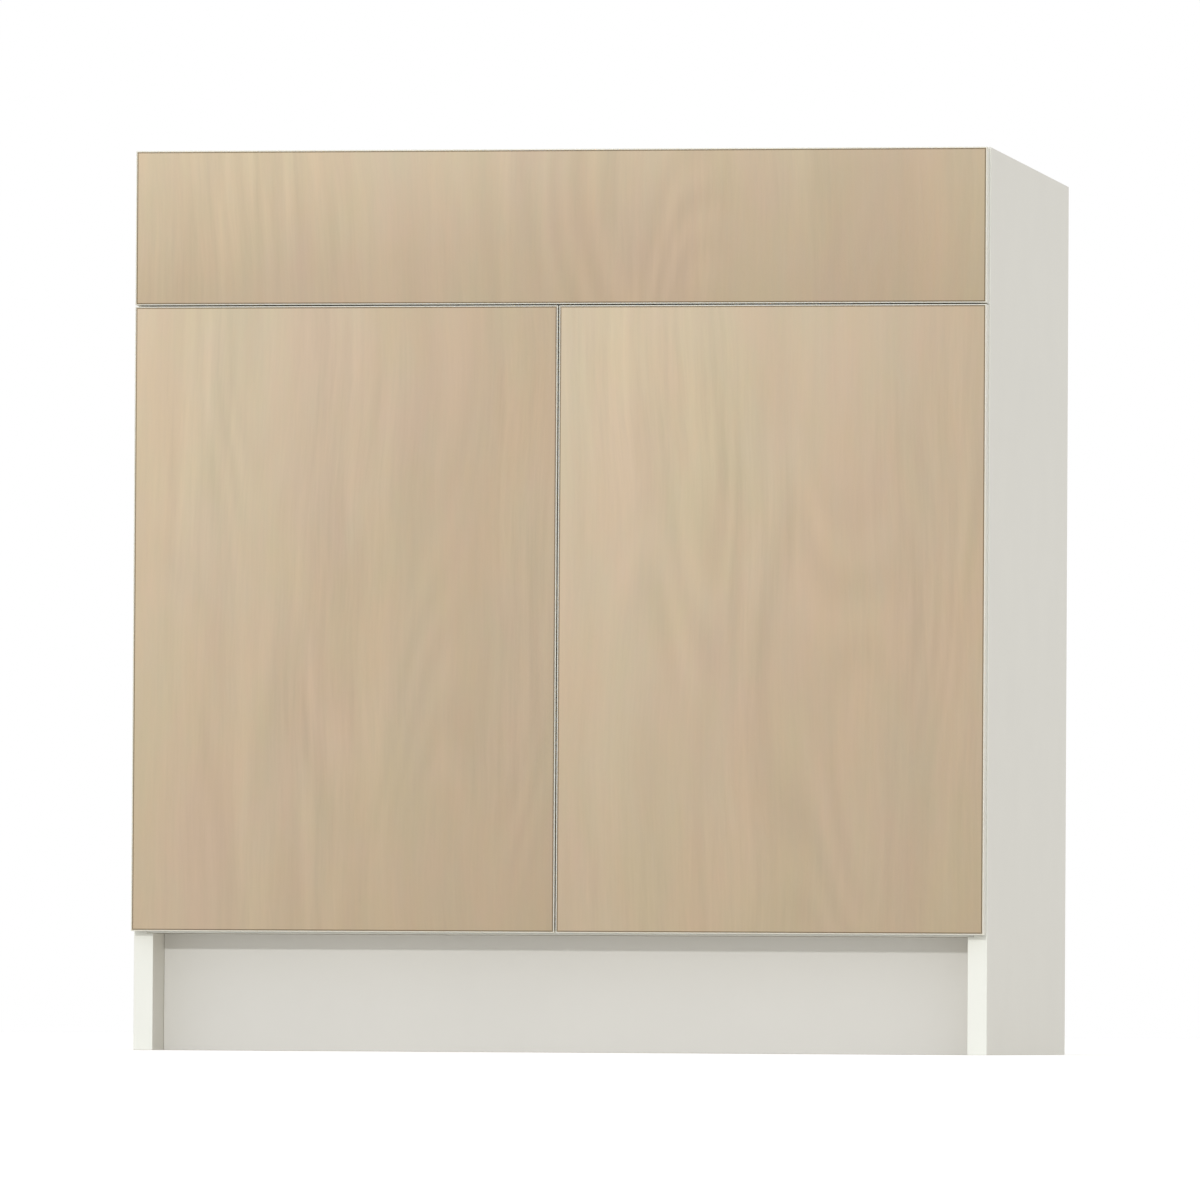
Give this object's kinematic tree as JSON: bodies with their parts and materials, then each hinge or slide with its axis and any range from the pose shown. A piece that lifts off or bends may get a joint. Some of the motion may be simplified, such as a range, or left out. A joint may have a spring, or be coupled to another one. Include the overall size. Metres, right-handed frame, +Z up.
{
  "type": "sink base cabinet",
  "caption": "Frameless sink base cabinet, open at the top, with a fixed false front over a pair of slab doors on concealed hinges and a recessed toe kick.",
  "frame": {"origin": "on the floor, at the centre of the cabinet's bounding box seen from above", "axes": "+Z up, +Y to the back, +X to the right as seen from the front"},
  "size_m": [0.838, 0.61, 0.876],
  "materials": {
    "wood_front": "pale straight-grained veneer, satin",
    "white_board": "off-white laminated board, matt",
    "back_board": "thin off-white laminated board, matt",
    "hinge_nickel": "nickel plate, satin",
    "zinc_screw": "bright zinc plate",
    "clear_bumper": "translucent soft plastic, smooth"
  },
  "bodies": {
    "carcass": {"back_panel": "back_board", "bottom_back_rail": "white_board", "false_front": "wood_front", "false_front_bumper_left_lower": "clear_bumper", "false_front_bumper_left_upper": "clear_bumper", "false_front_bumper_right_lower": "clear_bumper", "false_front_bumper_right_upper": "clear_bumper", "false_front_screw_left_lower": "zinc_screw", "false_front_screw_left_upper": "zinc_screw", "false_front_screw_right_lower": "zinc_screw", "false_front_screw_right_upper": "zinc_screw", "floor_panel": "white_board", "hinge_arm_left_lower": "hinge_nickel", "hinge_arm_left_upper": "hinge_nickel", "hinge_arm_right_lower": "hinge_nickel", "hinge_arm_right_upper": "hinge_nickel", "hinge_plate_left_lower": "hinge_nickel", "hinge_plate_left_upper": "hinge_nickel", "hinge_plate_right_lower": "hinge_nickel", "hinge_plate_right_upper": "hinge_nickel", "plate_screw_left_lower_bottom": "zinc_screw", "plate_screw_left_lower_top": "zinc_screw", "plate_screw_left_upper_bottom": "zinc_screw", "plate_screw_left_upper_top": "zinc_screw", "plate_screw_right_lower_bottom": "zinc_screw", "plate_screw_right_lower_top": "zinc_screw", "plate_screw_right_upper_bottom": "zinc_screw", "plate_screw_right_upper_top": "zinc_screw", "seam_rail": "white_board", "side_panel_left": "white_board", "side_panel_right": "white_board", "toe_kick_board": "white_board", "top_back_rail": "white_board", "top_front_rail": "white_board"},
    "left_door": {"cup_screw_left_lower_bottom": "zinc_screw", "cup_screw_left_lower_top": "zinc_screw", "cup_screw_left_upper_bottom": "zinc_screw", "cup_screw_left_upper_top": "zinc_screw", "door_bumper_left_lower": "clear_bumper", "door_bumper_left_upper": "clear_bumper", "door_left": "wood_front", "hinge_cup_left_lower": "hinge_nickel", "hinge_cup_left_upper": "hinge_nickel"},
    "right_door": {"cup_screw_right_lower_bottom": "zinc_screw", "cup_screw_right_lower_top": "zinc_screw", "cup_screw_right_upper_bottom": "zinc_screw", "cup_screw_right_upper_top": "zinc_screw", "door_bumper_right_lower": "clear_bumper", "door_bumper_right_upper": "clear_bumper", "door_right": "wood_front", "hinge_cup_right_lower": "hinge_nickel", "hinge_cup_right_upper": "hinge_nickel"},
    "left_elbow_links": {"hinge_elbow_link_left_lower": "hinge_nickel", "hinge_elbow_link_left_upper": "hinge_nickel"},
    "right_elbow_links": {"hinge_elbow_link_right_lower": "hinge_nickel", "hinge_elbow_link_right_upper": "hinge_nickel"},
    "left_cup_links": {"hinge_cup_link_left_lower": "hinge_nickel", "hinge_cup_link_left_upper": "hinge_nickel"},
    "right_cup_links": {"hinge_cup_link_right_lower": "hinge_nickel", "hinge_cup_link_right_upper": "hinge_nickel"}
  },
  "joints": [
    {"name": "left_door_hinge", "type": "hinge", "parent": "carcass", "child": "left_door", "pos_m": [-0.412, -0.3022, 0.4194], "axis": [0, 0, -1], "range_deg": [0, 105], "stiffness_Nm_per_rad": 0.3},
    {"name": "right_door_hinge", "type": "hinge", "parent": "carcass", "child": "right_door", "pos_m": [0.412, -0.3022, 0.4194], "axis": [0, 0, 1], "range_deg": [0, 105], "stiffness_Nm_per_rad": 0.3},
    {"name": "left_elbow_link_pivot", "type": "hinge", "parent": "carcass", "child": "left_elbow_links", "pos_m": [-0.3855, -0.284, 0.4194], "axis": [0, 0, -1], "range_deg": [-1, 106]},
    {"name": "left_cup_link_pivot", "type": "hinge", "parent": "left_door", "child": "left_cup_links", "pos_m": [-0.401, -0.289, 0.4194], "axis": [0, 0, -1], "range_deg": [-106, 1]},
    {"name": "right_elbow_link_pivot", "type": "hinge", "parent": "carcass", "child": "right_elbow_links", "pos_m": [0.3855, -0.284, 0.4194], "axis": [0, 0, 1], "range_deg": [-1, 106]},
    {"name": "right_cup_link_pivot", "type": "hinge", "parent": "right_door", "child": "right_cup_links", "pos_m": [0.401, -0.289, 0.4194], "axis": [0, 0, 1], "range_deg": [-106, 1]}
  ],
  "couplings": [
    {"joint": "left_elbow_link_pivot", "follows": "left_door_hinge", "ratio": 1},
    {"joint": "left_cup_link_pivot", "follows": "left_door_hinge", "ratio": -1},
    {"joint": "right_elbow_link_pivot", "follows": "right_door_hinge", "ratio": 1},
    {"joint": "right_cup_link_pivot", "follows": "right_door_hinge", "ratio": -1}
  ]
}
